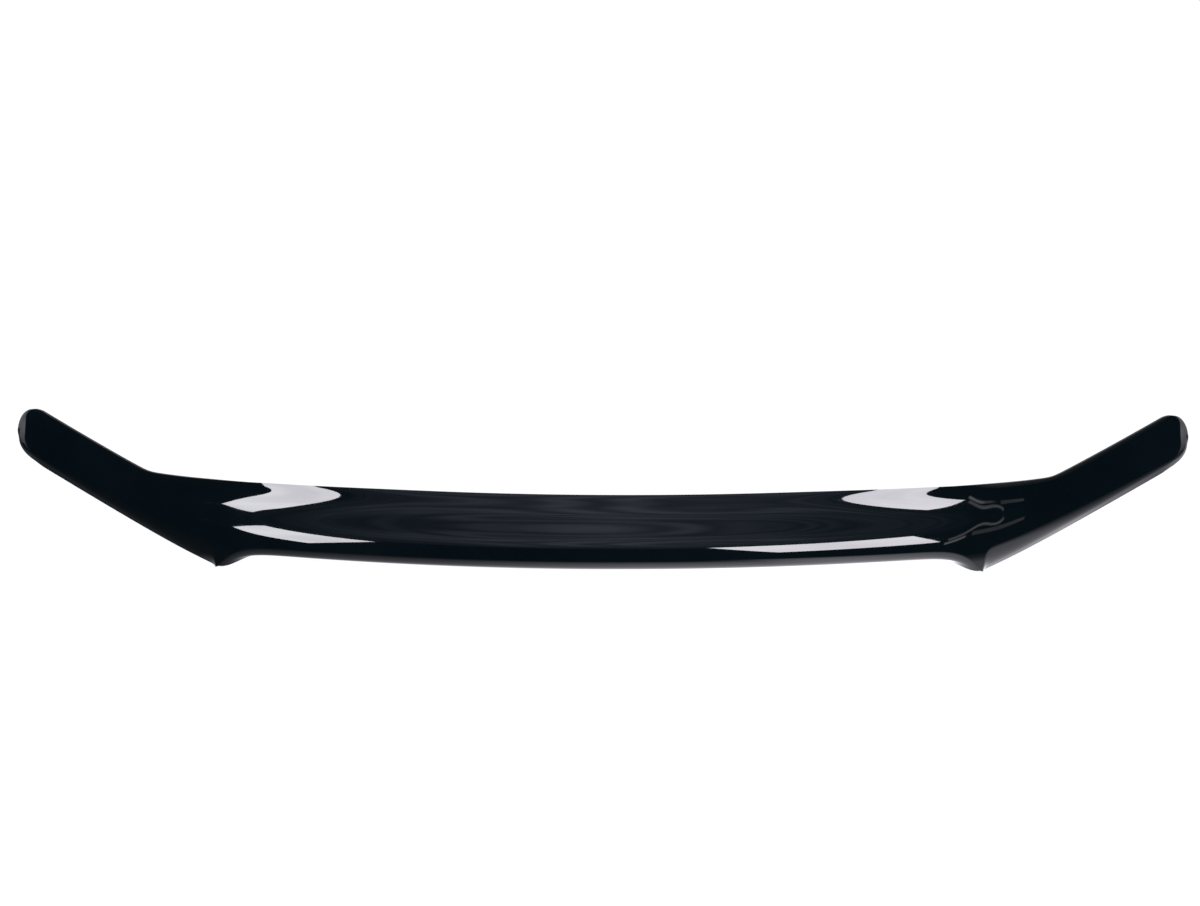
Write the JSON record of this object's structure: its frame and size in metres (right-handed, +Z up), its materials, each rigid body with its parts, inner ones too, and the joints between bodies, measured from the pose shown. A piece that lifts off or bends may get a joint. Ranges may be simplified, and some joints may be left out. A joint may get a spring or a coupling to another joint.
{
  "type": "hood bug deflector",
  "caption": "One-piece smoked acrylic bug shield for a car hood: S-section face, rolled lower lip with a flat ledge, pointed cusps and raised wings, with tape and bumpers behind.",
  "frame": {"origin": "middle of the ledge's top face, where the edge of the hood comes down on it", "axes": "+X to the right as seen from in front of the car, -Y forwards, +Z up as fitted"},
  "size_m": [1.4026, 0.2547, 0.141],
  "materials": {
    "smoked_acrylic": "high gloss, smoked nearly to black",
    "foam_tape": "matt closed-cell foam",
    "bumper_rubber": "satin"
  },
  "bodies": {
    "root": {"deflector_shield": "smoked_acrylic", "ledge_tape_left": "foam_tape", "ledge_tape_right": "foam_tape", "wing_tape_left": "foam_tape", "wing_tape_right": "foam_tape", "inner_bumper_left": "bumper_rubber", "inner_bumper_right": "bumper_rubber", "outer_bumper_left": "bumper_rubber", "outer_bumper_right": "bumper_rubber"}
  },
  "joints": []
}
